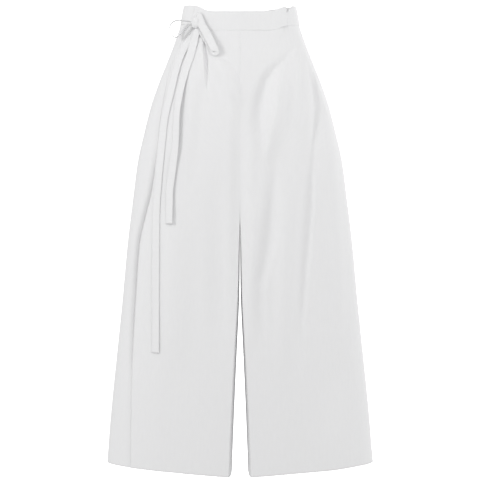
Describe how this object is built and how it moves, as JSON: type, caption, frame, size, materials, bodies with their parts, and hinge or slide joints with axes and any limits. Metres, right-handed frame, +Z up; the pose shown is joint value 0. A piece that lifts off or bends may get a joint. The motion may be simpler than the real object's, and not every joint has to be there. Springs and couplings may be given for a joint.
{
  "type": "wrap trousers",
  "caption": "Wide-leg white wrap trousers with a lapped front, a shaped waistband and a tie bow at the right hip, held at the waist as worn and hollow",
  "frame": {"origin": "the middle of the waist opening, halfway up the waistband at the sides, where the wearer holds the trousers up", "axes": "+Z is up, the wearer faces -Y, and the wearer's left is +X"},
  "size_m": [0.584, 0.2438, 1.025],
  "materials": {
    "cloth": "matte plain weave",
    "band": "matte plain weave, interfaced",
    "tie": "matte plain weave"
  },
  "bodies": {
    "root": {"leg_front_left": "cloth", "leg_back_left": "cloth", "leg_front_right": "cloth", "leg_back_right": "cloth", "waistband_front": "band", "waistband_back": "band", "tie_knot": "tie", "tie_loop_left": "tie", "tie_loop_right": "tie", "tie_end_short": "tie", "tie_end_long": "tie"}
  },
  "joints": []
}
